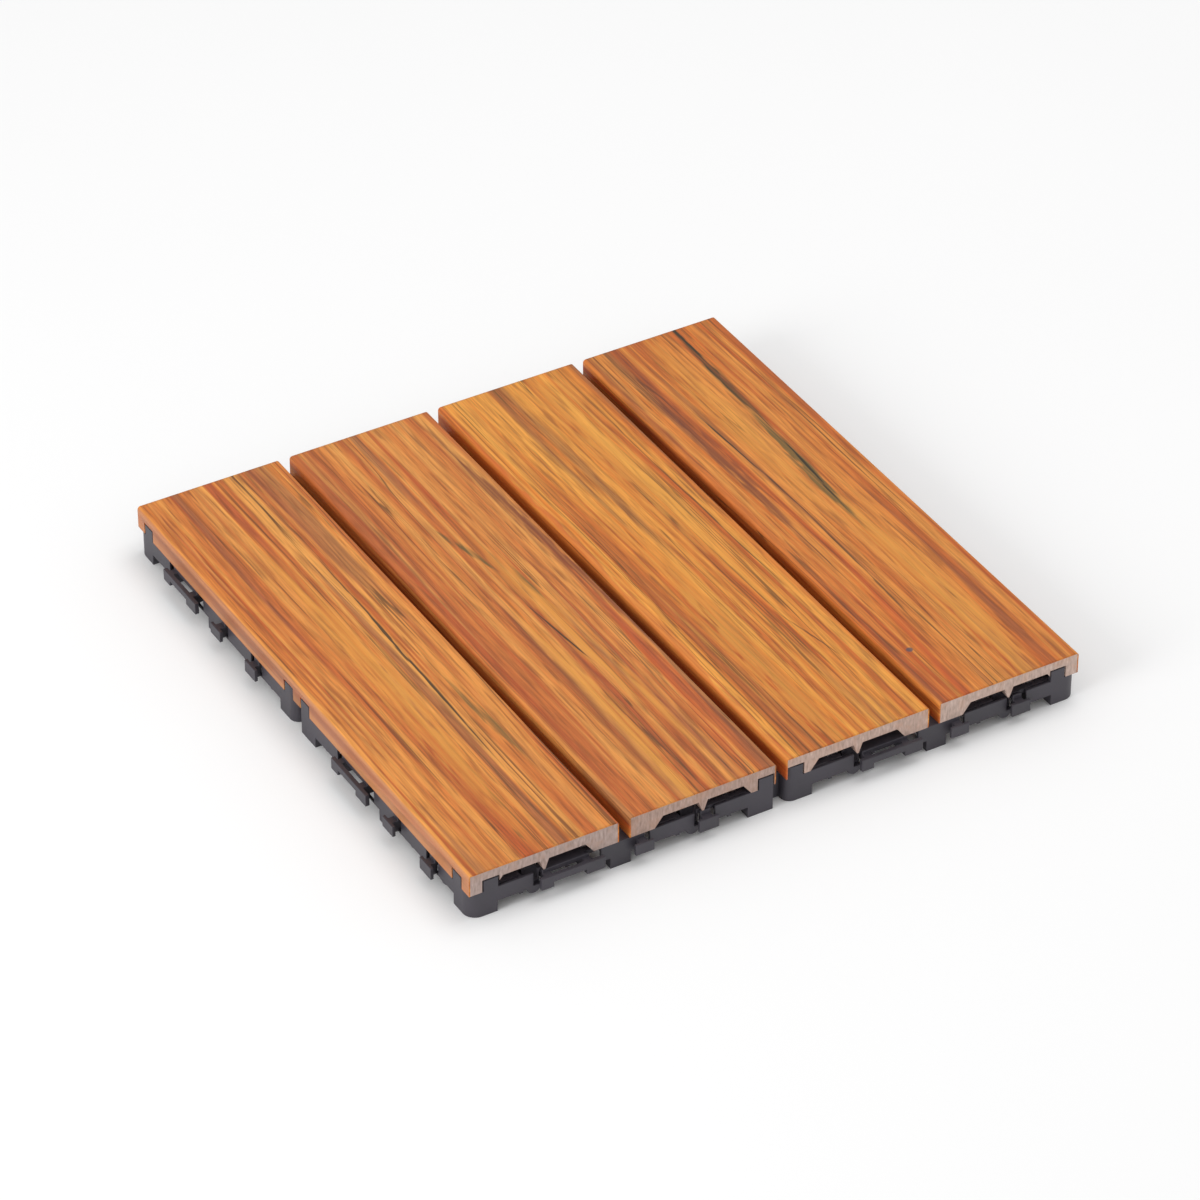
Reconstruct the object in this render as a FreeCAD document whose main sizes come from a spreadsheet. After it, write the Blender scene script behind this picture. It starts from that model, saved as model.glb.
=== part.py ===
"""Interlocking deck tile: four capped planks screwed to a moulded base with loops and hooks.

Millimetres, +Z up. The origin is the middle of the tile on the floor, and the planks run along Y.
The rail, corners, tabs and fittings of each side are those of the -Y side turned about Z by quarter
turns. The two columns in the middle of the X sides are those of the Y sides, mirrored.
"""
import FreeCAD, Part
import os
import re
import Sketcher
from FreeCAD import Placement, Rotation, Vector

doc = FreeCAD.newDocument("DeckTile")
QUARTER_TURNS = (90, 180, 270)

# Driving dimensions
SIZES = [
    ("plank_count", 4, "planks side by side"),
    ("plank_width", 71.1, "width of one plank"),
    ("plank_gap", 5.2, "gap between two planks"),
    ("plank_height", 10.7, "height of the plank section"),
    ("web_thickness", 5.5, "thickness of the plank's top"),
    ("leg_foot_width", 12.0, "width of a plank leg where it stands on the base"),
    ("leg_slant", 4.0, "how much wider the leg is at the web"),
    ("rib_root", 4.4, "width of the plank's middle rib at the web"),
    ("rib_tip", 0.8, "width of the middle rib at its tip"),
    ("rib_clearance", 0.2, "air under the tip of the middle rib"),
    ("edge_round", 1.5, "radius along the plank's two long top edges"),
    ("base_height", 12.8, "floor to the underside of the planks"),
    ("rail_bottom", 5.5, "height of the rail's lower edge above the floor"),
    ("rail_wall", 1.3, "thickness of the rail's upright wall"),
    ("groove_width", 0.7, "drain groove behind the rail"),
    ("groove_depth", 1.2, "depth of the drain groove"),
    ("shelf_reach", 5.0, "how far the top shelf reaches in from the side"),
    ("shelf_thickness", 2.2, "thickness of the top shelf"),
    ("column_width", 13.4, "side of a corner column"),
    ("column_wall", 3.0, "wall round the hollow in a corner column"),
    ("column_core_depth", 9.5, "depth of that hollow from below"),
    ("corner_round", 6.0, "plan radius of the base's corners"),
    ("near_column_start", 16.2, "near middle column, start before the side's middle"),
    ("near_column_end", 3.9, "near middle column, end before the side's middle"),
    ("far_column_start", 2.5, "far middle column, start past the side's middle"),
    ("far_column_end", 15.7, "far middle column, end past the side's middle"),
    ("far_column_round", 4.5, "plan radius of the far middle column's front corner"),
    ("middle_column_depth", 10.0, "how far the middle columns reach in"),
    ("middle_gap_depth", 6.0, "depth of the upright gap between the middle columns"),
    ("tab_width", 6.9, "width of an upright tab"),
    ("tab_thickness", 2.4, "thickness of an upright tab"),
    ("tab_rise", 5.4, "height of a tab above the base"),
    ("tab_from_corner", 10.35, "middle of an outer tab from the tile's corner"),
    ("tab_from_middle", 7.4, "middle of an inner tab from the side's middle"),
    ("tab_clearance", 0.7, "air between a tab and its notch in the plank"),
    ("second_half_lead", 6.0, "start of the second run of fittings past the side's middle"),
    ("loop_start", 27.2, "first fitting of a run from the run's start"),
    ("loop_foot_width", 6.8, "round foot behind the loop's heel"),
    ("loop_slit_lead", 3.2, "start of the rail's opening past that foot's start"),
    ("loop_heel_lead", 4.8, "start of the loop's heel past that foot's start"),
    ("loop_heel_width", 6.0, "end plate of the loop on the foot's side"),
    ("socket_length", 15.5, "inside length of the loop"),
    ("socket_depth", 6.0, "how far the socket reaches in from the side"),
    ("socket_wall", 2.0, "wall round the socket"),
    ("loop_toe_width", 9.0, "other end plate of the loop"),
    ("loop_stem", 3.5, "width of the stems that carry the loop"),
    ("loop_reach", 4.0, "how far the loop stands out"),
    ("loop_height", 5.7, "height of the loop's end plates"),
    ("bar_thickness", 2.0, "thickness of the loop's bar and end plates"),
    ("bar_height", 3.2, "height of the loop's bar"),
    ("stand_gap", 4.5, "rail between the loop and the stand"),
    ("stand_width", 10.0, "stand that reaches the floor"),
    ("stand_depth", 8.0, "how far stands and feet reach in"),
    ("stop_width", 9.0, "stop plate beside the stand"),
    ("stop_height", 5.3, "height of the stop plate"),
    ("stop_reach", 4.0, "how far the stop plate stands out"),
    ("hook_gap", 17.5, "rail between the stop plate and the foot beside the hook"),
    ("hook_foot_width", 6.8, "round foot beside the hook"),
    ("hook_slit_lead", 4.2, "start of the rail's opening past that foot's start"),
    ("hook_lead", 4.7, "start of the hook past that foot's start"),
    ("hook_width", 9.5, "width of the hook"),
    ("hook_height", 6.0, "height of the hook"),
    ("hook_reach", 3.5, "how far the hook stands out"),
    ("plate_thickness", 1.5, "thickness of the stop's and the hook's plate"),
    ("stem_inset", 2.5, "how far a stem is narrower than its plate at each end"),
    ("opening_sill", 6.4, "height of the rail strip left under an opening"),
    ("foot_bottom", 2.6, "height of the round feet above the floor"),
    ("window_lead", 1.7, "start of the drain window before a round foot's start"),
    ("window_length", 8.0, "drain window in the shelf above a round foot"),
    ("window_depth", 5.4, "depth of a drain window below the top"),
    ("grid_pitch", 25.0, "distance between two grid ribs"),
    ("grid_rib", 1.8, "thickness of a grid rib"),
    ("grid_bottom", 4.0, "height of the grid ribs above the floor"),
    ("post_radius", 4.0, "round foot under every other crossing of the grid"),
    ("boss_radius", 4.5, "screw boss"),
    ("boss_bottom", 2.0, "height of a boss above the floor"),
    ("screw_row", 125.0, "screws from the tile's middle, along the plank"),
    ("screw_seat", 6.0, "height of the screw head's seat above the floor"),
    ("screw_hole_radius", 2.1, "clearance hole in the boss"),
    ("screw_radius", 1.75, "radius of the screw's shank"),
    ("screw_bite", 7.5, "screw length inside the plank"),
    ("screw_tip", 1.6, "length of the screw's point"),
    ("head_radius", 3.4, "radius of the screw head"),
    ("head_height", 2.2, "height of the screw head"),
    ("head_clearance", 0.4, "air round the screw head"),
    ("drive_radius", 1.2, "radius of the recess in the screw head"),
    ("drive_depth", 1.3, "depth of that recess"),
    ("pilot_clearance", 0.1, "air round the screw in its pilot hole"),
]
sheet = doc.addObject("Spreadsheet::Sheet", "Sizes")
for row, (alias, number, note) in enumerate(SIZES, start=1):
    sheet.set(f"A{row}", note)
    sheet.set(f"B{row}", str(number))
    sheet.setAlias(f"B{row}", alias)
doc.recompute()
ALIASES = {alias for alias, number, note in SIZES}

# Places that follow from the driving dimensions
SPAN = "(plank_count * plank_width + (plank_count - 1) * plank_gap)"
HALF = f"({SPAN} / 2)"
TOP = "(base_height + plank_height)"
WEB_UNDERSIDE = f"({TOP} - web_thickness)"
SHELF_UNDERSIDE = "(base_height - shelf_thickness)"
LEG_MIDDLE = "(plank_width / 2 - leg_foot_width / 2)"
CUT_PAST = 1.0


def bound(text):
    """Write each alias in an expression as a reference to its cell."""
    return re.sub(r"[a-z_]+", lambda word: f"Sizes.{word.group(0)}", text)


def number(text):
    """The value of an expression for the sizes in the sheet, without its unit."""
    value = sheet.evalExpression(bound(text))
    return float(getattr(value, "Value", value))


def place(item, x, y, z):
    """Bind where a primitive's own origin stands."""
    for axis, text in zip("xyz", (x, y, z)):
        item.setExpression(f"Placement.Base.{axis}", bound(text))


def box(name, x_span, y_span, z_span):
    """A box between two bound places along each axis."""
    item = doc.addObject("Part::Box", name)
    for side, (low, high) in zip(("Length", "Width", "Height"), (x_span, y_span, z_span)):
        item.setExpression(side, bound(f"({high}) - ({low})"))
    place(item, x_span[0], y_span[0], z_span[0])
    return item


def rod(name, x, y, z_span, radius):
    """An upright cylinder."""
    item = doc.addObject("Part::Cylinder", name)
    item.setExpression("Radius", bound(radius))
    item.setExpression("Height", bound(f"({z_span[1]}) - ({z_span[0]})"))
    place(item, x, y, z_span[0])
    return item


def fused(name, pieces):
    item = doc.addObject("Part::MultiFuse", name)
    item.Shapes = pieces
    item.Refine = True
    return item


def cut(name, base, tool):
    item = doc.addObject("Part::Cut", name)
    item.Base = base
    item.Tool = tool
    item.Refine = True
    return item


def linked(name, source, placement):
    """A copy of an object that follows it, standing somewhere else."""
    item = doc.addObject("App::Link", name)
    item.LinkedObject = source
    item.Placement = placement
    return item


# Parametric sketches for the planks
def origin_plane(body, role):
    return next(plane for plane in body.Origin.OriginFeatures if plane.Role == role)


def sketch_on(body, name, role, height="0"):
    """A sketch on one of the body's own planes, at a bound height above it."""
    sketch = body.newObject("Sketcher::SketchObject", name)
    sketch.AttachmentSupport = [(origin_plane(body, role), "")]
    sketch.MapMode = "FlatFace"
    sketch.setExpression("AttachmentOffset.Base.z", bound(height))
    return sketch


def bind_point(sketch, line, corner, x, y):
    """Hold one end of a line at bound distances from the sketch's origin."""
    for kind, text in (("DistanceX", x), ("DistanceY", y)):
        rule = sketch.addConstraint(Sketcher.Constraint(kind, -1, 1, line, corner, number(text)))
        sketch.setExpression(f"Constraints[{rule}]", bound(text))


def outline(sketch, points):
    """A closed outline of straight lines through bound points."""
    spots = [Vector(number(x), number(y), 0) for x, y in points]
    first = sketch.GeometryCount
    count = len(points)
    for index, spot in enumerate(spots):
        sketch.addGeometry(Part.LineSegment(spot, spots[(index + 1) % count]), False)
    for index, (x, y) in enumerate(points):
        before = first + (index - 1) % count
        sketch.addConstraint(Sketcher.Constraint("Coincident", before, 2, first + index, 1))
        bind_point(sketch, first + index, 1, x, y)


def rectangle(sketch, x_span, y_span):
    (left, right), (low, high) = x_span, y_span
    outline(sketch, [(left, low), (right, low), (right, high), (left, high)])


def circle(sketch, x, y, radius):
    """A round hole whose middle and radius are bound."""
    index = sketch.addGeometry(Part.Circle(Vector(number(x), number(y), 0), Vector(0, 0, 1), number(radius)), False)
    bind_point(sketch, index, 3, x, y)
    rule = sketch.addConstraint(Sketcher.Constraint("Radius", index, number(radius)))
    sketch.setExpression(f"Constraints[{rule}]", bound(radius))


def pocket_up(body, name, sketch, depth):
    """Cut a sketch upwards from its plane, and make sure that it removed material."""
    before = body.Shape.Volume
    pocket = body.newObject("PartDesign::Pocket", name)
    pocket.Profile = sketch
    pocket.setExpression("Length", bound(depth))
    pocket.Reversed = True
    doc.recompute()
    if body.Shape.Volume >= before:
        raise ValueError(f"{name} cuts nothing")
    return pocket


# A plank: one extruded section, notched for the tabs and drilled for the screws
def plank_section(middle):
    """Points of the section: two slanting legs, a thin web and a pointed rib in the middle."""
    edge, foot = "plank_width / 2", "(plank_width / 2 - leg_foot_width)"
    root = f"({foot} - leg_slant)"
    tip = "(base_height + rib_clearance)"
    right = [
        ("rib_tip / 2", tip),
        ("rib_root / 2", WEB_UNDERSIDE),
        (root, WEB_UNDERSIDE),
        (foot, "base_height"),
        (edge, "base_height"),
        (edge, TOP),
    ]
    left = [(f"-({x})", z) for x, z in reversed(right)]
    return [(f"{middle} + ({x})", z) for x, z in right + left]


def end_tabs():
    """Middles of the four upright tabs along a side, from the side's middle."""
    return [f"-({HALF} - tab_from_corner)", "-tab_from_middle", "tab_from_middle", f"({HALF} - tab_from_corner)"]


def notch_rectangles(middle, outer_side):
    """Plan rectangles of the notches that one plank needs, as pairs of bound spans."""
    reach = "(tab_width / 2 + tab_clearance)"
    deep = f"({HALF} - tab_thickness - tab_clearance)"
    past = f"({HALF} + {CUT_PAST})"
    rectangles = []
    for tab in end_tabs():
        if abs(number(f"{tab} - ({middle})")) < number("plank_width / 2"):
            across = (f"{tab} - {reach}", f"{tab} + {reach}")
            rectangles.append((across, (f"-{past}", f"-{deep}")))
            rectangles.append((across, (deep, past)))
    if outer_side:
        sideways = (deep, past) if outer_side > 0 else (f"-{past}", f"-{deep}")
        for tab in end_tabs():
            rectangles.append((sideways, (f"{tab} - {reach}", f"{tab} + {reach}")))
    return rectangles


def make_plank(index, count):
    middle = f"(-{HALF} + plank_width / 2 + {index} * (plank_width + plank_gap))"
    body = doc.addObject("PartDesign::Body", f"plank_{index + 1}")
    body.Label = f"plank_{index + 1}"
    body.Placement = Placement()

    section = sketch_on(body, f"PlankSection{index + 1}", "XZ_Plane")
    outline(section, plank_section(middle))
    pad = body.newObject("PartDesign::Pad", f"PlankLength{index + 1}")
    pad.Profile = section
    pad.SideType = "Symmetric"
    pad.setExpression("Length", bound(SPAN))
    doc.recompute()

    top = number(TOP)
    long_edges = [
        f"Edge{place_in_shape}"
        for place_in_shape, edge in enumerate(pad.Shape.Edges, start=1)
        if all(abs(vertex.Z - top) < 1e-6 for vertex in edge.Vertexes)
        and abs(edge.Vertexes[0].Y - edge.Vertexes[1].Y) > 1
    ]
    rounded = body.newObject("PartDesign::Fillet", f"PlankEdges{index + 1}")
    rounded.Base = (pad, long_edges)
    rounded.setExpression("Radius", bound("edge_round"))
    doc.recompute()

    outer_side = {0: -1, count - 1: 1}.get(index, 0)
    notches = sketch_on(body, f"PlankNotches{index + 1}", "XY_Plane", "base_height")
    for across, along in notch_rectangles(middle, outer_side):
        rectangle(notches, across, along)
    pocket_up(body, f"PlankNotchCut{index + 1}", notches, "tab_rise + tab_clearance")

    pilots = sketch_on(body, f"PlankPilots{index + 1}", "XY_Plane", "base_height")
    for x, y in screw_spots(index):
        circle(pilots, x, y, "screw_radius + pilot_clearance")
    pocket_up(body, f"PlankPilotCut{index + 1}", pilots, "screw_bite + tab_clearance")
    return body


def screw_spots(index):
    """The four places of one plank's screws, under the middles of its legs."""
    middle = f"(-{HALF} + plank_width / 2 + {index} * (plank_width + plank_gap))"
    return [(f"{middle} + ({sign}{LEG_MIDDLE})", row) for sign in ("-", "") for row in ("-screw_row", "screw_row")]


# Fittings of one side, built on the -Y side and turned to the other three
def side_box(name, start, end, inward, outward, bottom, top):
    """A box on the -Y side: from inward behind the side's face to outward in front of it."""
    return box(name, (start, end), (f"-({HALF} + ({outward}))", f"-({HALF} - ({inward}))"), (bottom, top))


def round_foot(name, start, width, bottom):
    """A foot of the rail whose lower end is a half round."""
    middle_z = f"{bottom} + {width} / 2"
    block = side_box(f"{name}Block", start, f"{start} + {width}", "stand_depth", "0", middle_z, "base_height")
    nose = doc.addObject("Part::Cylinder", f"{name}Nose")
    nose.setExpression("Radius", bound(f"{width} / 2"))
    nose.setExpression("Height", bound("stand_depth"))
    nose.Placement.Rotation = Rotation(Vector(1, 0, 0), 90)
    place(nose, f"{start} + {width} / 2", f"-({HALF} - stand_depth)", middle_z)
    return [block, nose]


def rail_opening(name, start, end):
    """What is cut from the rail and its groove beside a stem."""
    return side_box(name, start, end, "rail_wall + groove_width", f"{CUT_PAST}", "opening_sill",
                    f"base_height + {CUT_PAST}")


def plate_on_stem(name, start, width, reach, bottom, top):
    """A plate in front of the rail, its narrower stem, and the openings beside the stem."""
    end = f"({start} + {width})"
    stem = (f"{start} + stem_inset", f"{end} - stem_inset")
    solids = [
        side_box(f"{name}Plate", start, end, f"-({reach} - plate_thickness)", reach, bottom, top),
        side_box(f"{name}Stem", *stem, "rail_wall", f"{reach} - plate_thickness / 2", bottom, top),
    ]
    return solids, stem


def run_of_fittings(name, origin):
    """Loop, stand, stop and hook of half a side: the solids and what is cut from them."""
    foot = f"({origin} + loop_start)"
    heel = f"({foot} + loop_heel_lead)"
    socket = f"({heel} + loop_heel_width)"
    toe = f"({socket} + socket_length)"
    toe_end = f"({toe} + loop_toe_width)"
    stand = f"({toe_end} + stand_gap)"
    stop = f"({stand} + stand_width)"
    stop_end = f"({stop} + stop_width)"
    hook_foot = f"({stop_end} + hook_gap)"
    hook = f"({hook_foot} + hook_lead)"
    loop_top = "rail_bottom + loop_height"
    bar_back = "-(loop_reach - bar_thickness)"
    stem_front = "loop_reach - bar_thickness / 2"
    stop_solids, stop_stem = plate_on_stem(f"{name}Stop", stop, "stop_width", "stop_reach", "rail_bottom",
                                           "rail_bottom + stop_height")
    hook_solids, hook_stem = plate_on_stem(f"{name}Hook", hook, "hook_width", "hook_reach",
                                           f"{SHELF_UNDERSIDE} - hook_height", SHELF_UNDERSIDE)
    solids = [
        *round_foot(f"{name}LoopFoot", foot, "loop_foot_width", "foot_bottom"),
        side_box(f"{name}Heel", heel, socket, bar_back, "loop_reach", "rail_bottom", loop_top),
        side_box(f"{name}HeelStem", f"{socket} - loop_stem", socket, "rail_wall", stem_front, "rail_bottom", loop_top),
        side_box(f"{name}Bar", heel, toe_end, bar_back, "loop_reach", f"{loop_top} - bar_height", loop_top),
        side_box(f"{name}Toe", toe, toe_end, bar_back, "loop_reach", "rail_bottom", loop_top),
        side_box(f"{name}ToeStem", toe, f"{toe} + loop_stem", "rail_wall", stem_front, "rail_bottom", loop_top),
        side_box(f"{name}Housing", f"{socket} - socket_wall", f"{toe} + socket_wall", "socket_depth + socket_wall",
                 "0", "rail_bottom", "base_height"),
        side_box(f"{name}Stand", stand, stop, "stand_depth", "0", "0", "base_height"),
        *stop_solids,
        *round_foot(f"{name}HookFoot", hook_foot, "hook_foot_width", "foot_bottom"),
        *hook_solids,
    ]
    cuts = [
        side_box(f"{name}Socket", socket, toe, "socket_depth", "loop_reach - bar_thickness", f"-{CUT_PAST}",
                 SHELF_UNDERSIDE),
        rail_opening(f"{name}HeelOpening", f"{foot} + loop_slit_lead", f"{socket} - loop_stem"),
        rail_opening(f"{name}ToeOpening", f"{toe} + loop_stem", toe_end),
        rail_opening(f"{name}StopOpening", stop_stem[1], stop_end),
        rail_opening(f"{name}HookSlit", f"{hook_foot} + hook_slit_lead", hook_stem[0]),
        rail_opening(f"{name}HookOpening", hook_stem[1], f"{hook} + hook_width"),
    ]
    for kind, start in (("Loop", foot), ("Hook", hook_foot)):
        cuts.append(side_box(f"{name}{kind}Window", f"{start} - window_lead", f"{start} - window_lead + window_length",
                             "shelf_reach", "-rail_wall", "base_height - window_depth",
                             f"base_height + {CUT_PAST}"))
    return solids, cuts


def middle_parts():
    """The two columns in the middle of the -Y side: the solids, and the gap cut between them."""
    gap = ("-near_column_end", "far_column_start")
    solids = [
        side_box("NearColumn", "-near_column_start", gap[0], "middle_column_depth", "0", "0", "base_height"),
        side_box("ColumnBridge", *gap, "middle_column_depth", "-middle_gap_depth", "0", "base_height"),
        side_box("FarColumn", gap[1], "far_column_end", "middle_column_depth", "0", "0", "base_height"),
    ]
    tall = f"base_height + tab_rise + {CUT_PAST}"
    corner = side_box("FarCorner", gap[1], f"{gap[1]} + far_column_round", "far_column_round", f"{CUT_PAST}",
                      f"-{CUT_PAST}", tall)
    barrel = rod("FarBarrel", f"{gap[1]} + far_column_round", f"-({HALF} - far_column_round)",
                 (f"-2 * {CUT_PAST}", f"{tall} + {CUT_PAST}"), "far_column_round")
    cuts = [
        side_box("MiddleGap", *gap, "middle_gap_depth", f"{CUT_PAST}", f"-{CUT_PAST}", f"base_height + {CUT_PAST}"),
        cut("FarNick", corner, barrel),
    ]
    return fused("MiddleSolids", solids), fused("MiddleCuts", cuts)


def on_all_middles(name, part):
    """The part on the -Y side, its half turn, and both mirrored to the X sides."""
    mirrored = doc.addObject("Part::Mirroring", f"{name}Mirrored")
    mirrored.Source = part
    mirrored.Normal = Vector(1, -1, 0)
    half_turn = Placement(Vector(), Rotation(Vector(0, 0, 1), 180))
    return [part, linked(f"{name}Behind", part, half_turn), mirrored, linked(f"{name}Across", mirrored, half_turn)]


def corner_nick():
    """What the plan radius takes off the corner at -X, -Y."""
    square = box("CornerSquare", (f"-{HALF} - {CUT_PAST}", f"-{HALF} + corner_round"),
                 (f"-{HALF} - {CUT_PAST}", f"-{HALF} + corner_round"), (f"-{CUT_PAST}", f"base_height + {CUT_PAST}"))
    barrel = rod("CornerBarrel", f"-{HALF} + corner_round", f"-{HALF} + corner_round",
                 (f"-2 * {CUT_PAST}", f"base_height + 2 * {CUT_PAST}"), "corner_round")
    return cut("CornerNick", square, barrel)


def side_parts():
    """Everything that one side adds to the base, and everything that it takes away."""
    solids = [
        side_box("Rail", f"-{HALF}", HALF, "rail_wall", "0", "rail_bottom", "base_height"),
        side_box("Shelf", f"-{HALF}", HALF, "shelf_reach", "0", SHELF_UNDERSIDE, "base_height - groove_depth"),
        side_box("ShelfTop", f"-{HALF} + column_width", f"{HALF} - column_width", "shelf_reach",
                 "-(rail_wall + groove_width)", SHELF_UNDERSIDE, "base_height"),
        side_box("CornerColumn", f"-{HALF}", f"-{HALF} + column_width", "column_width", "0", "0", "base_height"),
    ]
    core = (f"-{HALF} + column_wall", f"-{HALF} + column_width - column_wall")
    cuts = [corner_nick(), box("ColumnCore", core, core, (f"-{CUT_PAST}", "column_core_depth"))]
    for index, tab in enumerate(end_tabs()):
        solids.append(side_box(f"Tab{index + 1}", f"{tab} - tab_width / 2", f"{tab} + tab_width / 2",
                               "tab_thickness", "0", "rail_bottom", "base_height + tab_rise"))
    for name, origin in (("First", f"-{HALF}"), ("Second", "second_half_lead")):
        more_solids, more_cuts = run_of_fittings(name, origin)
        solids += more_solids
        cuts += more_cuts
    return fused("SideSolids", solids), fused("SideCuts", cuts)


def all_round(name, side):
    """The side itself and its three turned copies."""
    turned = [linked(f"{name}{turn}", side, Placement(Vector(), Rotation(Vector(0, 0, 1), turn)))
              for turn in QUARTER_TURNS]
    return [side] + turned


# The grid inside the rail: ribs both ways, round feet and screw bosses
def grid_parts(plank_total):
    inside = (f"-{HALF} + rail_wall / 2", f"{HALF} - rail_wall / 2")
    height = ("grid_bottom", "base_height")
    reach = int((number(HALF) - number("grid_rib")) // number("grid_pitch"))
    solids = []
    for step in range(-reach, reach + 1):
        if abs(step) * number("grid_pitch") > number(f"{HALF} - grid_pitch / 3"):
            continue
        across = (f"{step} * grid_pitch - grid_rib / 2", f"{step} * grid_pitch + grid_rib / 2")
        solids.append(box("RibAlong", across, inside, height))
        solids.append(box("RibAcross", inside, across, height))
    even = range(-(reach - 1) // 2 * 2, reach, 2)
    for column in even:
        for row in even:
            solids.append(rod("Post", f"{column} * grid_pitch", f"{row} * grid_pitch", ("0", "base_height"),
                              "post_radius"))
    holes = []
    for x, y in [spot for index in range(plank_total) for spot in screw_spots(index)]:
        solids.append(rod("Boss", x, y, ("boss_bottom", "base_height"), "boss_radius"))
        holes.append(rod("ScrewHole", x, y, (f"-{CUT_PAST}", f"base_height + {CUT_PAST}"), "screw_hole_radius"))
        holes.append(rod("HeadHole", x, y, (f"-{CUT_PAST}", "screw_seat"), "head_radius + head_clearance"))
    return solids, holes


def make_base(plank_total):
    side_solids, side_cuts = side_parts()
    middle_solids, middle_cuts = middle_parts()
    grid_solids, screw_holes = grid_parts(plank_total)
    solid = fused("BaseSolid", all_round("SideTurned", side_solids) + on_all_middles("Middle", middle_solids)
                  + grid_solids)
    hollow = fused("BaseHollow", all_round("CutsTurned", side_cuts) + on_all_middles("MiddleCut", middle_cuts)
                   + screw_holes)
    base = cut("BaseGrid", solid, hollow)
    base.Label = "base_grid"
    return base


# One self-tapping screw, head down, and its copies
def make_screws(plank_total):
    shank = rod("ScrewShank", "0", "0", ("screw_seat", "base_height + screw_bite - screw_tip"), "screw_radius")
    point = doc.addObject("Part::Cone", "ScrewPoint")
    point.setExpression("Radius1", bound("screw_radius"))
    point.setExpression("Radius2", bound("screw_radius / 4"))
    point.setExpression("Height", bound("screw_tip"))
    place(point, "0", "0", "base_height + screw_bite - screw_tip")
    head = rod("ScrewHead", "0", "0", ("screw_seat - head_height", "screw_seat"), "head_radius")
    recess = rod("ScrewRecess", "0", "0", (f"screw_seat - head_height - {CUT_PAST}",
                                           "screw_seat - head_height + drive_depth"), "drive_radius")
    screw = cut("Screw", fused("ScrewBlank", [shank, point, head]), recess)
    copies = []
    for x, y in [spot for index in range(plank_total) for spot in screw_spots(index)]:
        copy = linked("ScrewCopy", screw, Placement(Vector(number(x), number(y), 0), Rotation()))
        copy.setExpression("Placement.Base.x", bound(x))
        copy.setExpression("Placement.Base.y", bound(y))
        copies.append(copy)
    screws = doc.addObject("Part::Compound", "PlankScrews")
    screws.Links = copies
    screws.Label = "plank_screws"
    return screws


plank_total = int(number("plank_count"))
nodes = [make_plank(index, plank_total) for index in range(plank_total)]
nodes.append(make_base(plank_total))
nodes.append(make_screws(plank_total))
doc.recompute()

# Nothing is written unless every object is sound
for item in doc.Objects:
    if {"Invalid", "Error"} & set(item.State):
        raise ValueError(f"{item.Name} failed: {item.State}")
for node in nodes:
    if node.Shape.isNull() or not node.Shape.isValid():
        raise ValueError(f"{node.Label} has no sound shape")

os.makedirs("parts", exist_ok=True)
for node in nodes:
    node.Shape.exportStep(f"parts/{node.Label}.step")
    size = node.Shape.BoundBox
    print(f"{node.Label}: {len(node.Shape.Solids)} solids, {node.Shape.Volume / 1000:.2f} cm3, "
          f"{size.XLength:.1f} x {size.YLength:.1f} x {size.ZLength:.1f} mm, floor {size.ZMin:.2f}")
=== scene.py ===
# %% [markdown]
# # Dressing an interlocking deck tile
#
# The solids of the tile are loaded first and never move. They give every size that this script
# needs, so nothing below repeats a length that can be read from them. The planks and the base are
# then dressed: merged copies of the solids get the embossed grain, the softened edges and the
# finishes that a close picture shows.

# %% Load the solids
import math

import bmesh
import bpy
import numpy as np
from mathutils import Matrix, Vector


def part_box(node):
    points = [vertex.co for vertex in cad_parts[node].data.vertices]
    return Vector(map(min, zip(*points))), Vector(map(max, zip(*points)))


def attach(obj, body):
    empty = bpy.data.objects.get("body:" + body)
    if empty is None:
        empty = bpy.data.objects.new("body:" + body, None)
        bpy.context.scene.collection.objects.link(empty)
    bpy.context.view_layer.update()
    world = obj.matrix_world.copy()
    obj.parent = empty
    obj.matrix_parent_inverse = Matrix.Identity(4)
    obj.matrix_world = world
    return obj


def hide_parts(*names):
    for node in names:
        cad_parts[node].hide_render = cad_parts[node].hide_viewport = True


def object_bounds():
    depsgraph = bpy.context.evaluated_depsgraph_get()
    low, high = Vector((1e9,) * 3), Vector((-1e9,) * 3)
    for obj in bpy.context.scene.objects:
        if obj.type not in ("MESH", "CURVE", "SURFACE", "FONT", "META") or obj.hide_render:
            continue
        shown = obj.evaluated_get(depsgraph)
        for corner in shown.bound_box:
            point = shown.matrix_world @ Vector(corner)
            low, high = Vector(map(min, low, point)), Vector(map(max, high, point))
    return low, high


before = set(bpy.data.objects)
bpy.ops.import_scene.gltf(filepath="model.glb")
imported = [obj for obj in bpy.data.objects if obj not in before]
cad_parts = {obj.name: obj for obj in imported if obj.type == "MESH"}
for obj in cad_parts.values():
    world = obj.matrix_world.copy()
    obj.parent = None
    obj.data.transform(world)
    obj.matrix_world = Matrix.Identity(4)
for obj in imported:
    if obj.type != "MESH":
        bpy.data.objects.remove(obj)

solid_box = [list(corner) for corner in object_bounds()]
PLANKS = sorted(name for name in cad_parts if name.startswith("plank_") and name != "plank_screws")
print("box of the solids", solid_box)
for name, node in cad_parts.items():
    print(name, len(node.data.polygons), "triangles")

# %% [markdown]
# ## Camera
#
# The photograph looks down at the near corner: the planks' ends are on the right, a long side is on
# the left. The angles depend only on where a camera stands, so this one stands where the
# photograph was taken from. The long lens only enlarges, until the tile fills the frame.

# %% Camera
CAMERA_PLACE = Vector((-1.019, -1.737, 1.506))
LENS = 172

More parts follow.
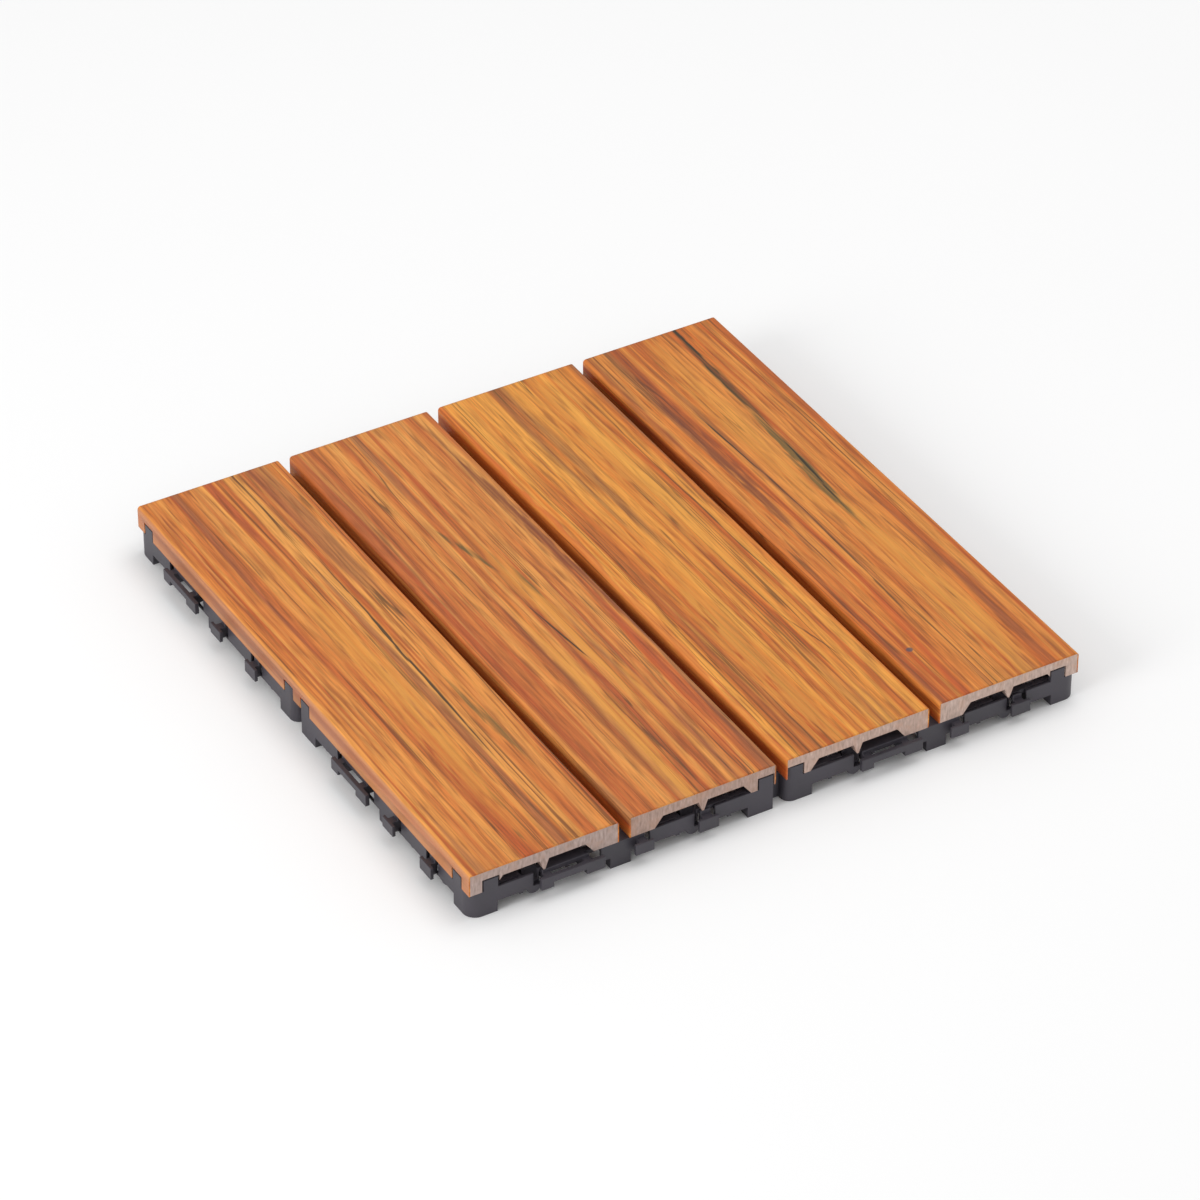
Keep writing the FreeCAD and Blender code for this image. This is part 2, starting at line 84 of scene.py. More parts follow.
low, high = (Vector(corner) for corner in solid_box)
aim = (low + high) / 2
camera = bpy.data.objects.new("camera", bpy.data.cameras.new("camera"))
bpy.context.scene.collection.objects.link(camera)
bpy.context.scene.camera = camera
camera.data.lens = LENS
camera.location = CAMERA_PLACE
camera.rotation_euler = (aim - CAMERA_PLACE).to_track_quat("-Z", "Y").to_euler()
print("camera is", round((aim - CAMERA_PLACE).length, 3), "m from the middle of the tile")

# %% [markdown]
# ## Shader helpers
#
# Materials are node trees. A few small helpers keep them readable: one places a node and fills its
# sockets, the others do arithmetic, mix colours and fade from 0 to 1. Colours are written as in a
# paint program (sRGB hex digits) and turned to the linear numbers that shaders use.

# %% Helpers for nodes
def srgb(code):
    """Six hex digits as a linear colour: each channel goes through the sRGB curve."""
    parts = np.array([int(code[start:start + 2], 16) for start in (0, 2, 4)]) / 255
    linear = np.where(parts <= 0.04045, parts / 12.92, ((parts + 0.055) / 1.055) ** 2.4)
    return (*linear.tolist(), 1.0)


def add(tree, kind, inputs=None, **options):
    """Place a node, set its options, and fill or link its inputs."""
    node = tree.nodes.new(kind)
    for option, value in options.items():
        setattr(node, option, value)
    for key, value in (inputs or {}).items():
        if isinstance(value, bpy.types.NodeSocket):
            tree.links.new(value, node.inputs[key])
        else:
            node.inputs[key].default_value = value
    return node


def maths(tree, operation, *values):
    """One step of arithmetic on numbers and sockets."""
    return add(tree, "ShaderNodeMath", dict(enumerate(values)), operation=operation).outputs[0]


def moved(tree, spot, way):
    """A place moved by a vector."""
    return add(tree, "ShaderNodeVectorMath", {0: spot, 1: way}, operation="ADD").outputs[0]


def step(tree, value, start, end):
    """Smooth step: 0 at start, 1 at end, also where end is the lower one."""
    node = add(tree, "ShaderNodeMapRange", {0: value, 1: start, 2: end}, interpolation_type="SMOOTHSTEP")
    return node.outputs[0]


def rescale(tree, value, start, end, at_start, at_end):
    """A straight line from at_start, where the value is start, to at_end, where it is end."""
    limits = {0: value, 1: start, 2: end, 3: at_start, 4: at_end}
    return add(tree, "ShaderNodeMapRange", limits).outputs[0]


print("hex 808080 is", round(srgb("808080")[0], 3), "in linear numbers")


# %% Helpers for colours
def mix(tree, factor, first, second, blend="MIX"):
    """Two colours mixed by a factor. The colour sockets of a Mix node are numbers 6 and 7."""
    node = add(tree, "ShaderNodeMix", {0: factor, 6: first, 7: second}, data_type="RGBA", blend_type=blend)
    return node.outputs[2]


def cover(tree, colour, mask, strength, code):
    """Lay a hex colour over a colour, as far as the mask times the strength says."""
    return mix(tree, maths(tree, "MULTIPLY", mask, strength), colour, srgb(code))


def ramp(tree, factor, stops, between="LINEAR"):
    """A colour ramp through (place, hex colour) stops."""
    node = add(tree, "ShaderNodeValToRGB", {0: factor})
    node.color_ramp.interpolation = between
    elements = node.color_ramp.elements
    while len(elements) < len(stops):
        elements.new(0.5)
    for element, (spot, code) in zip(elements, stops):
        element.position = spot
        element.color = srgb(code)
    return node.outputs[0]


def by_plank(tree, plank, codes):
    """One hex colour for each plank, chosen by the plank's number, which starts at 0."""
    factor = maths(tree, "DIVIDE", maths(tree, "ADD", plank, 0.5), float(len(codes)))
    return ramp(tree, factor, [(number / len(codes), code) for number, code in enumerate(codes)], "CONSTANT")


print("white is", srgb("FFFFFF"))

# %% [markdown]
# ## Node groups
#
# An effect that several materials or several places need is a node group: a small tree with named
# inputs and outputs that is built once and placed where it is wanted, with its own values there.

# %% Helpers for groups
def new_group(name, inputs, outputs):
    """An empty node group with its sockets. Inputs are (name, kind, default), outputs (name, kind)."""
    tree = bpy.data.node_groups.new(name, "ShaderNodeTree")
    for label, kind, default in inputs:
        socket = tree.interface.new_socket(label, in_out="INPUT", socket_type=f"NodeSocket{kind}")
        if default is not None:
            socket.default_value = default
    for label, kind in outputs:
        tree.interface.new_socket(label, in_out="OUTPUT", socket_type=f"NodeSocket{kind}")
    return tree, add(tree, "NodeGroupInput").outputs, add(tree, "NodeGroupOutput").inputs


def place_group(tree, source, **values):
    """One placed copy of a group, with its inputs filled by name."""
    return add(tree, "ShaderNodeGroup", values, node_tree=source).outputs


print("node groups so far:", len(bpy.data.node_groups))

# %% [markdown]
# ## Streaks
#
# Everything that shows on a plank is stretched along its length: colour bands, thin dark veins and
# the fine embossed grain. A picture of wood would be blurred close up and repeat from plank to plank,
# so a noise makes them all. The group multiplies the place on the object by a large number across
# the plank and a small one along it, and reads a noise there. Object coordinates are in metres, so
# 100 across and 3 along means patches about 10 mm wide and 300 mm long.

# %% Streak group
def make_streaks():
    """Noise at (across x, along y, across z) plus the seed."""
    tree, given, result = new_group(
        "streaks",
        [("Vector", "Vector", None), ("Across", "Float", 100.0), ("Along", "Float", 3.0),
         ("Detail", "Float", 2.0), ("Seed", "Float", 0.0)],
        [("Value", "Float")])
    scale = add(tree, "ShaderNodeCombineXYZ", {0: given["Across"], 1: given["Along"], 2: given["Across"]})
    shift = add(tree, "ShaderNodeCombineXYZ", {0: given["Seed"], 1: given["Seed"], 2: given["Seed"]})
    spot = add(tree, "ShaderNodeVectorMath",
               {0: given["Vector"], 1: scale.outputs[0], 2: shift.outputs[0]}, operation="MULTIPLY_ADD")
    noise = add(tree, "ShaderNodeTexNoise",
                {"Vector": spot.outputs[0], "Scale": 1.0, "Detail": given["Detail"]})
    tree.links.new(noise.outputs[0], result["Value"])
    return tree


streaks = make_streaks()


def streak(tree, vector, across, along, detail, seed):
    """One placed copy of the streak group: its value lies between about 0.25 and 0.75."""
    placed = place_group(tree, streaks, Vector=vector, Across=across, Along=along, Detail=detail, Seed=seed)
    return placed["Value"]


print(streaks.name, "group:", len(streaks.nodes), "nodes")

# %% [markdown]
# ## One long vein
#
# Some dark veins are long enough to know the tile by, so they can't be left to chance. A vein is a
# line along the plank: how far a point lies from it across the plank is compared with a half width
# that shrinks to nothing at both ends. The group takes the place across, already shifted a little so
# that the line wanders, and a ragged factor that makes its edges uneven. Both are worked out once for
# all veins, because a noise inside each vein would make the render slow.

# %% Vein group
VEIN_INPUTS = ["Across", "Along", "Ragged", "X", "Start", "Length", "Drift", "Width", "Outer", "Inner"]


def make_vein():
    """Share s runs from 0 to 1 along the vein. Its line lies at X + Drift s, and its half width is
    Width s (1 - s) Ragged. The mask fades from 0 at Outer to 1 at Inner, measured inwards."""
    inputs = [(label, "Float", 0.0) for label in VEIN_INPUTS]
    tree, given, result = new_group("vein", inputs, [("Mask", "Float")])
    share = maths(tree, "DIVIDE", maths(tree, "SUBTRACT", given["Along"], given["Start"]), given["Length"])
    line = maths(tree, "MULTIPLY_ADD", share, given["Drift"], given["X"])
    away = maths(tree, "ABSOLUTE", maths(tree, "SUBTRACT", given["Across"], line))
    # A parabola that is a quarter halfway along, 0 at both ends and below 0 beyond them
    taper = maths(tree, "MULTIPLY", share, maths(tree, "SUBTRACT", 1.0, share))
    half = maths(tree, "MULTIPLY", maths(tree, "MULTIPLY", taper, given["Width"]), given["Ragged"])
    inside = maths(tree, "SUBTRACT", half, away)
    tree.links.new(step(tree, inside, given["Outer"], given["Inner"]), result["Mask"])
    return tree


vein = make_vein()
print(vein.name, "group:", len(vein.nodes), "nodes")

# %% [markdown]
# ## Where the long lines lie
#
# These are the lines that make this tile this one: black veins, the olive smears beside them, and
# the widest brown, golden and red bands. Each is placed on the tile by its near end, its length and
# how far it drifts across, as one would mark them with a ruler.

# %% Long lines
# Each line: place across at its near end, near end, far end, drift across, half width (metres)
BLACK_VEINS = [
    (-0.1018, -0.092, 0.082, 0.0022, 0.0007),
    (-0.0990, 0.060, 0.150, 0.0000, 0.0003),
    (0.1260, 0.045, 0.170, 0.0034, 0.0012),
    (0.1204, -0.014, 0.055, 0.0058, 0.0006),
    (0.1004, -0.130, 0.020, 0.0044, 0.0005),
    (0.1046, -0.015, 0.105, -0.0018, 0.0005),
    (-0.0318, -0.052, 0.002, -0.0054, 0.0005),
    (0.0656, -0.045, 0.100, -0.0004, 0.0004),
    (0.0655, 0.080, 0.160, 0.0003, 0.0005),
    (0.0608, -0.103, -0.058, -0.0090, 0.0004),
]
OLIVE_SMEARS = [
    (0.1196, -0.028, 0.092, 0.0075, 0.0026),
    (0.1256, 0.035, 0.165, 0.0036, 0.0017),
    (-0.0895, -0.100, -0.028, -0.0045, 0.0018),
    (-0.0350, 0.028, 0.068, -0.0100, 0.0015),
    (-0.0281, 0.000, 0.026, 0.0000, 0.0009),
]
BROWN_BANDS = [
    (0.0915, -0.040, 0.175, 0.0060, 0.0031),
    (0.0826, 0.050, 0.165, 0.0010, 0.0021),
    (0.0384, 0.066, 0.122, 0.0000, 0.0009),
    (-0.0018, -0.070, 0.140, -0.0101, 0.0030),
    (-0.0500, -0.150, 0.010, 0.0030, 0.0018),
]
OCHRE_BANDS = [
    (0.1120, -0.010, 0.170, 0.0020, 0.0050),
    (0.0545, -0.060, 0.165, -0.0040, 0.0060),
    (-0.0240, -0.120, 0.060, -0.0100, 0.0050),
    (-0.1180, -0.150, 0.100, 0.0020, 0.0060),
    (0.0280, -0.180, 0.020, 0.0030, 0.0080),
    (0.1240, -0.180, 0.010, -0.0030, 0.0070),
    (-0.0450, -0.180, 0.000, 0.0020, 0.0055),
]
RED_BANDS = [
    (0.0905, -0.155, -0.025, 0.0098, 0.0015),
    (-0.0150, -0.150, -0.020, 0.0060, 0.0020),
    (0.0026, -0.250, 0.250, 0.0000, 0.0032),
]
# Each family, from the lowest up: its lines, width of their soft edges (metres), strength, colour
LONG_LINES = [
    (OCHRE_BANDS, 0.0080, 0.65, "E09B45"),
    (RED_BANDS, 0.0025, 0.60, "C75A2C"),
    (BROWN_BANDS, 0.0035, 0.82, "743C2C"),
    (OLIVE_SMEARS, 0.0020, 0.85, "5E5533"),
    (BLACK_VEINS, 0.0005, 0.90, "322E24"),
]
EDGE_OUTSIDE = 0.4
LINE_WANDER = 0.004


def mask_of_lines(tree, lines, soft, **shared):
    """The mask of several veins: the highest of their values. The soft edge lies partly outside."""
    highest = None
    for x, start, end, drift, half_width in lines:
        # The taper is a quarter where it is highest, so four times the half width gives that width
        mask = place_group(tree, vein, X=x, Start=start, Length=end - start, Drift=drift,
                           Width=4 * half_width, Outer=-EDGE_OUTSIDE * soft,
                           Inner=(1 - EDGE_OUTSIDE) * soft, **shared)["Mask"]
        highest = mask if highest is None else maths(tree, "MAXIMUM", highest, mask)
    return highest


def add_long_lines(tree, own, vector, colour):
    """Lay every family over the colour. Their place across wanders, their edges are ragged, and a
    finer grain breaks them up, as it does the other streaks."""
    crooked = maths(tree, "SUBTRACT", streak(tree, own, 6.0, 13.0, 1.0, 4.0), 0.5)
    place = add(tree, "ShaderNodeSeparateXYZ", {0: vector}).outputs
    across = maths(tree, "SUBTRACT", place[0], maths(tree, "MULTIPLY", crooked, LINE_WANDER))
    ragged = maths(tree, "ADD", 0.35, step(tree, streak(tree, own, 700.0, 60.0, 1.0, 8.0), 0.25, 0.6))
    grain_break = rescale(tree, streak(tree, vector, 480.0, 6.0, 2.0, 37.0), 0.36, 0.56, 0.45, 1.0)
    for lines, soft, strength, code in LONG_LINES:
        mask = mask_of_lines(tree, lines, soft, Across=across, Along=place[1], Ragged=ragged)
        colour = cover(tree, colour, maths(tree, "MULTIPLY", mask, grain_break), strength, code)
    return colour


print(sum(len(family[0]) for family in LONG_LINES), "long lines in", len(LONG_LINES), "families")

# %% [markdown]
# ## The wood-grain cap
#
# The plank's skin is a thin coloured layer of plastic with an embossed grain. Its colour is built up
# like a stained board: broad golden and burnt-orange bands, narrower red-brown and mauve streaks, a
# few thin olive-black lines, and very fine light and dark grain over everything. Each layer is a
# noise of its own width and length, so each can be changed alone.

# %% Bands and thin lines
BAND_COLOURS = [(0.30, "A8603C"), (0.40, "C4713C"), (0.47, "D68947"), (0.54, "E09C54"), (0.60, "D4813F"),
                (0.70, "B4603A")]
# Each kind: across, along, detail and seed of its noise, where it starts and ends, strength, colour
COLOUR_STREAKS = [
    (210.0, 3.0, 3.0, 3.0, 0.48, 0.36, 0.75, "B2552F"),
    (160.0, 3.0, 2.0, 17.0, 0.52, 0.64, 0.50, "E8AC60"),
    (120.0, 3.0, 2.0, 5.0, 0.43, 0.33, 0.60, "8F6049"),
]
THIN_LINE_STRENGTH = 0.7


def board_colour(tree, vector):
    """The broad bands, with the red-brown, golden and mauve streaks over them."""
    colour = ramp(tree, streak(tree, vector, 105.0, 2.0, 2.0, 1.0), BAND_COLOURS)
    for across, along, detail, seed, start, end, strength, code in COLOUR_STREAKS:
        mask = step(tree, streak(tree, vector, across, along, detail, seed), start, end)
        colour = cover(tree, colour, mask, strength, code)
    return colour


def add_thin_lines(tree, vector, colour):
    """Long thin lines follow the contours of a noise, in some stretches only. Short ones lie in
    clusters between them."""
    contour = maths(tree, "SUBTRACT", streak(tree, vector, 190.0, 3.0, 2.0, 9.0), 0.5)
    line = step(tree, maths(tree, "ABSOLUTE", contour), 0.016, 0.004)
    stretch = step(tree, streak(tree, vector, 60.0, 8.0, 1.0, 11.0), 0.50, 0.60)
    colour = cover(tree, colour, maths(tree, "MULTIPLY", line, stretch), THIN_LINE_STRENGTH, "54432F")
    short = step(tree, streak(tree, vector, 750.0, 9.0, 2.0, 23.0), 0.43, 0.34)
    cluster = step(tree, streak(tree, vector, 110.0, 4.0, 1.0, 27.0), 0.50, 0.62)
    return cover(tree, colour, maths(tree, "MULTIPLY", short, cluster), THIN_LINE_STRENGTH, "67452C")


print(len(BAND_COLOURS), "band colours and", len(COLOUR_STREAKS), "kinds of streak")

# %% [markdown]
# ## The whole cap
#
# The planks come from one long extrusion but from different stretches of it, so each has its own
# pattern and a slightly different tint. The outer long sides get a paler, pinker orange, a painted
# sheen for the light that the floor throws on them. The grooves are painted darker, as painted shade.

# %% Cap group
PLANK_TINTS = ["FBF1DE", "F6EDE1", "FFF9D0", "F4E2C8"]
PATTERN_SHIFT = 0.37
STREAK_WANDER = 0.005
# How strongly the grooves are painted darker, as painted shade
GROOVE_SHADE_STRENGTH = 0.45
# How strongly the outer long sides get the painted sheen
SIDE_SHEEN_STRENGTH = 0.72
SPECK = (0.0884, -0.1116, 0.0235)
SPECK_RADIUS = 0.0016
SPECK_STRENGTH = 0.8
CAP_ROUGHNESS = 0.42
GRAIN_ROUGHNESS = 0.25


def make_cap():
    """The skin's colour, roughness and height at a place on a plank."""
    tree, given, result = new_group(
        "wood_grain_cap",
        [("Vector", "Vector", None), ("Plank", "Float", 0.0), ("Groove", "Float", 0.0),
         ("Side", "Float", 0.0)],
        [("Color", "Color"), ("Roughness", "Float"), ("Height", "Float")])
    # Each plank reads the noise at another depth, so no streak runs on from plank to plank
    depth = add(tree, "ShaderNodeCombineXYZ", {2: maths(tree, "MULTIPLY", given["Plank"], PATTERN_SHIFT)})
    own = moved(tree, given["Vector"], depth.outputs[0])
    # The streaks wander sideways by a few millimetres along the plank
    wander = maths(tree, "SUBTRACT", streak(tree, own, 12.0, 5.0, 1.0, 31.0), 0.5)
    shift = add(tree, "ShaderNodeCombineXYZ", {0: maths(tree, "MULTIPLY", wander, STREAK_WANDER)})
    vector = moved(tree, own, shift.outputs[0])

    colour = add_thin_lines(tree, vector, board_colour(tree, vector))
    fine = streak(tree, vector, 1300.0, 60.0, 2.0, 13.0)
    shade = rescale(tree, fine, 0.3, 0.7, 0.80, 1.20)
    shades = add(tree, "ShaderNodeCombineXYZ", {0: shade, 1: shade, 2: shade}).outputs[0]
    colour = mix(tree, 1.0, colour, shades, "MULTIPLY")
    colour = mix(tree, 1.0, colour, by_plank(tree, given["Plank"], PLANK_TINTS), "MULTIPLY")
    # Painted shade: the grooves are darkened with a brown
    colour = cover(tree, colour, given["Groove"], GROOVE_SHADE_STRENGTH, "7A4528")
    # Painted sheen: the outer long sides are paler and pinker, as in the light thrown up by the floor
    colour = cover(tree, colour, given["Side"], SIDE_SHEEN_STRENGTH, "B47A5B")
    colour = add_long_lines(tree, own, vector, colour)
    away = add(tree, "ShaderNodeVectorMath", {0: given["Vector"], 1: SPECK}, operation="DISTANCE").outputs[1]
    speck = step(tree, away, SPECK_RADIUS * 1.2, SPECK_RADIUS * 0.7)
    tree.links.new(cover(tree, colour, speck, SPECK_STRENGTH, "4A4C57"), result["Color"])

    roughness = maths(tree, "ADD", CAP_ROUGHNESS, maths(tree, "MULTIPLY", fine, GRAIN_ROUGHNESS))
    tree.links.new(roughness, result["Roughness"])
    tree.links.new(fine, result["Height"])
    return tree


cap = make_cap()
print(cap.name, "group:", len(cap.nodes), "nodes")

# %% [markdown]
# ## The sawn core
#
# Where a plank is cut to length the core shows: a grey-taupe mixture of wood flour and plastic. The
# saw leaves fine upright marks and pulls out pale fibres. The marks are a noise squeezed sideways,
# and a second, broader noise lets some orange of the cap through, where the saw smeared it.

# %% Core group
# Each cut end has its own tint; the third and fourth are also lighter, painted light from the right
CORE_TINTS_AND_PAINTED_LIGHT = ["DADBE1", "D9D3D3", "EDE9E9", "F0F0F2"]
CORE_COLOURS = [(0.28, "B59C8F"), (0.48, "CFB5A6"), (0.60, "D9BEB0"), (0.74, "EAD3C4")]
SAW_MARKS = (900.0, 900.0, 260.0)
SMEAR_STRENGTH = 0.3


def make_core():
    """The colour and height of the cut end."""
    tree, given, result = new_group("sawn_core", [("Vector", "Vector", None), ("Plank", "Float", 0.0)],
                                    [("Color", "Color"), ("Height", "Float")])
    squeezed = add(tree, "ShaderNodeVectorMath", {0: given["Vector"], 1: SAW_MARKS}, operation="MULTIPLY")
    marks = add(tree, "ShaderNodeTexNoise", {"Vector": squeezed.outputs[0], "Scale": 1.0, "Detail": 3.0})
    patches = add(tree, "ShaderNodeTexNoise", {"Vector": given["Vector"], "Scale": 160.0, "Detail": 2.0})
    colour = ramp(tree, marks.outputs[0], CORE_COLOURS)
    colour = cover(tree, colour, step(tree, patches.outputs[0], 0.48, 0.66), SMEAR_STRENGTH, "DDAF93")
    colour = mix(tree, 1.0, colour, by_plank(tree, given["Plank"], CORE_TINTS_AND_PAINTED_LIGHT), "MULTIPLY")
    tree.links.new(colour, result["Color"])
    tree.links.new(marks.outputs[0], result["Height"])
    return tree


core = make_core()
print(core.name, "group:", len(core.nodes), "nodes")

# %% [markdown]
# ## Moulded plastic
#
# The base is black polypropylene. It is never quite black: the tool was spark-eroded, so the skin is
# finely matt and scatters a little light. A slow noise varies the colour and the gloss, and a very
# fine one gives the grit.

# %% Moulded skin group
MOULDED_COLOURS = [(0.35, "36333A"), (0.65, "413D45")]
MOULDED_ROUGHNESS = (0.40, 0.55)


def make_moulded():
    """The colour, roughness and height of the moulding's skin."""
    tree, given, result = new_group("moulded_skin", [("Vector", "Vector", None)],
                                    [("Color", "Color"), ("Roughness", "Float"), ("Height", "Float")])
    cloud = add(tree, "ShaderNodeTexNoise", {"Vector": given["Vector"], "Scale": 45.0, "Detail": 4.0})
    grit = add(tree, "ShaderNodeTexNoise", {"Vector": given["Vector"], "Scale": 2600.0, "Detail": 1.0})
    tree.links.new(ramp(tree, cloud.outputs[0], MOULDED_COLOURS), result["Color"])
    tree.links.new(rescale(tree, cloud.outputs[0], 0.3, 0.7, *MOULDED_ROUGHNESS), result["Roughness"])
    tree.links.new(grit.outputs[0], result["Height"])
    return tree


moulded = make_moulded()
print(moulded.name, "group:", len(moulded.nodes), "nodes")

# %% [markdown]
# ## The plank's material
#
# The shader itself stays in each material. The plank material decides between cap and core by place
# alone: whatever lies within the cap's thickness of the top or of a long side is cap, so the sawn
# ends show the thin orange line along their top and side edges. A second material on some faces
# could not show that line, which runs within one face.

# %% Material starter
def new_material(name):
    """A material with its tree, its shader and the object coordinates."""
    material = bpy.data.materials.new(name)
    material.use_nodes = True
    tree = material.node_tree
    shader = tree.nodes["Principled BSDF"]
    return material, tree, shader, add(tree, "ShaderNodeTexCoord").outputs["Object"]


def facing(tree, axis):
    """How far the true face looks along an axis, from -1 to 1."""
    normal = add(tree, "ShaderNodeNewGeometry").outputs["True Normal"]
    return add(tree, "ShaderNodeSeparateXYZ", {0: normal}).outputs[axis]


# %% Plank sizes
CAP_THICKNESS = 0.0006
plank_low, plank_high = (Vector(corner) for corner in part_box(PLANKS[0]))
next_low = Vector(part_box(PLANKS[1])[0])
plank_width = plank_high.x - plank_low.x
plank_pitch = next_low.x - plank_low.x
plank_top = plank_high.z
print("plank width", round(plank_width, 4), "pitch", round(plank_pitch, 4), "top", round(plank_top, 4))

# %% Plank material
CORE_ROUGHNESS = 0.8
PLANK_SHINE = 0.25
GRAIN_BUMP = 0.0002


def make_plank_material():
    material, tree, shader, spot = new_material("capped_composite")
    place = add(tree, "ShaderNodeSeparateXYZ", {0: spot}).outputs
    across = maths(tree, "SUBTRACT", place[0], plank_low.x)
    plank = maths(tree, "FLOOR", maths(tree, "DIVIDE", across, plank_pitch))
    from_edge = maths(tree, "FLOORED_MODULO", across, plank_pitch)
    from_middle = maths(tree, "ABSOLUTE", maths(tree, "SUBTRACT", from_edge, plank_width / 2))
    at_side = maths(tree, "GREATER_THAN", from_middle, plank_width / 2 - CAP_THICKNESS)
    at_top = maths(tree, "GREATER_THAN", place[2], plank_top - CAP_THICKNESS)
    is_cap = maths(tree, "MAXIMUM", at_side, at_top)
    # The outer long sides, which get the painted sheen: on the outside of the tile, and looking sideways
    outside = maths(tree, "GREATER_THAN", maths(tree, "ABSOLUTE", place[0]), -plank_low.x - CAP_THICKNESS)
    sideways = step(tree, maths(tree, "ABSOLUTE", facing(tree, 0)), 0.5, 0.95)
    groove = add(tree, "ShaderNodeAttribute", attribute_name="groove").outputs["Fac"]
    skin = place_group(tree, cap, Vector=spot, Plank=plank, Groove=groove,
                       Side=maths(tree, "MULTIPLY", sideways, outside))
    cut_end = place_group(tree, core, Vector=spot, Plank=plank)
    tree.links.new(mix(tree, is_cap, cut_end["Color"], skin["Color"]), shader.inputs["Base Color"])
    rough = add(tree, "ShaderNodeMix", {0: is_cap, 2: CORE_ROUGHNESS, 3: skin["Roughness"]}).outputs[0]
    tree.links.new(rough, shader.inputs["Roughness"])
    height = add(tree, "ShaderNodeMix", {0: is_cap, 2: cut_end["Height"], 3: skin["Height"]}).outputs[0]
    bump = add(tree, "ShaderNodeBump", {"Height": height, "Distance": GRAIN_BUMP, "Strength": 0.5})
    tree.links.new(bump.outputs[0], shader.inputs["Normal"])
    shader.inputs["Specular IOR Level"].default_value = PLANK_SHINE
    return material


plank_material = make_plank_material()
print(plank_material.name, "material:", len(plank_material.node_tree.nodes), "nodes")

# %% [markdown]
# ## Base and screw materials
#
# The moulded skin needs no more than its group, with a bump so shallow that it only scatters the
# light. The screws are zinc plated: a metal whose colour and gloss change a little from crystal to
# crystal, which one fine noise gives.

# %% Base and screw materials
GRIT_BUMP = 0.00005
ZINC_COLOURS = [(0.3, "A8A9A4"), (0.7, "C6C7C2")]
ZINC_ROUGHNESS = (0.25, 0.42)


def make_base_material():
    material, tree, shader, spot = new_material("black_polypropylene")
    skin = place_group(tree, moulded, Vector=spot)
    tree.links.new(skin["Color"], shader.inputs["Base Color"])
    tree.links.new(skin["Roughness"], shader.inputs["Roughness"])
    bump = add(tree, "ShaderNodeBump", {"Height": skin["Height"], "Distance": GRIT_BUMP, "Strength": 0.5})
    tree.links.new(bump.outputs[0], shader.inputs["Normal"])
    return material


def make_screw_material():
    material, tree, shader, spot = new_material("zinc_plated_steel")
    cloud = add(tree, "ShaderNodeTexNoise", {"Vector": spot, "Scale": 900.0, "Detail": 3.0}).outputs[0]
    tree.links.new(ramp(tree, cloud, ZINC_COLOURS), shader.inputs["Base Color"])
    tree.links.new(rescale(tree, cloud, 0.3, 0.7, *ZINC_ROUGHNESS), shader.inputs["Roughness"])
    shader.inputs["Metallic"].default_value = 1.0
    return material


base_material = make_base_material()
screw_material = make_screw_material()
print("materials:", base_material.name, "and", screw_material.name)

# %% [markdown]
# ## Copies of the solids
#
# A solid arrives as loose triangles, which neither a bevel nor a finer surface can work on. A copy is
# merged point by point, and triangles that lie in one plane are dissolved into whole faces. The copy
# then stands for the solid, which stays underneath for collision.

# %% Merge a solid's triangles
MERGE_DISTANCE = 1e-6
FLAT_ANGLE = math.radians(0.5)
SHARP_ANGLE = math.radians(32)


def merged_copy(node_name):
    """The solid's mesh as a bmesh with shared points and whole flat faces."""
    shape = bmesh.new()
    shape.from_mesh(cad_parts[node_name].data)
    bmesh.ops.remove_doubles(shape, verts=shape.verts, dist=MERGE_DISTANCE)
    bmesh.ops.dissolve_limit(shape, angle_limit=FLAT_ANGLE, verts=shape.verts, edges=shape.edges)
    print(node_name, "merged:", len(shape.verts), "points,", len(shape.faces), "faces")
    return shape


def finish_piece(shape, name, material, node_name):
    """Turn a bmesh into a piece that rides on the tile and stands for its solid."""
    mesh = bpy.data.meshes.new(name)
    shape.to_mesh(mesh)
    shape.free()
    mesh.materials.append(material)
    mesh.shade_smooth()
    mesh.set_sharp_from_angle(angle=SHARP_ANGLE)
    piece = bpy.data.objects.new(name, mesh)
    bpy.context.scene.collection.objects.link(piece)
    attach(piece, "root")
    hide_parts(node_name)
    return piece


# %% [markdown]
# ## Embossed grain
#
# The roller that embosses a plank presses thousands of fine grooves into its top, each well under a
# millimetre wide and a centimetre or two long. White noise smoothed with a long, narrow bell curve
# gives exactly that: the smoothing is done in one go by multiplying spectra, with no loop. Only the
# deepest part of the noise becomes a groove. At the border of the top the depth fades to nothing, so
# the finer surface meets the rounded edges and the sawn ends without a crack.

# %% Grain relief
GROOVE_DEPTH = 0.00018
GRAIN_WIDTH = 0.00033
GRAIN_LENGTH = 0.0065
# A groove starts where the noise is this many spreads below its mean, and is whole this much lower
GROOVE_START = 0.55
GROOVE_RANGE = 1.2
FADE_ACROSS = 0.0008
FADE_ALONG = 0.0012
CELLS_ACROSS = 190
CELLS_ALONG = 260


def grain_field(across, along, seed):
    """Smoothed noise on a grid: the spectrum of white noise times a Gaussian for each direction,
    exp(-2 (pi f s)^2) for frequency f and spread s, scaled to a standard deviation of one."""
    rng = np.random.default_rng(seed)
    noise = rng.standard_normal((len(across), len(along)))
    across_share = math.pi * GRAIN_WIDTH * np.fft.fftfreq(len(across), across[1] - across[0])[:, None]
    along_share = math.pi * GRAIN_LENGTH * np.fft.fftfreq(len(along), along[1] - along[0])[None, :]
    bell = np.exp(-2 * across_share ** 2 - 2 * along_share ** 2)
    smooth = np.fft.ifft2(np.fft.fft2(noise) * bell).real
    return smooth / smooth.std()


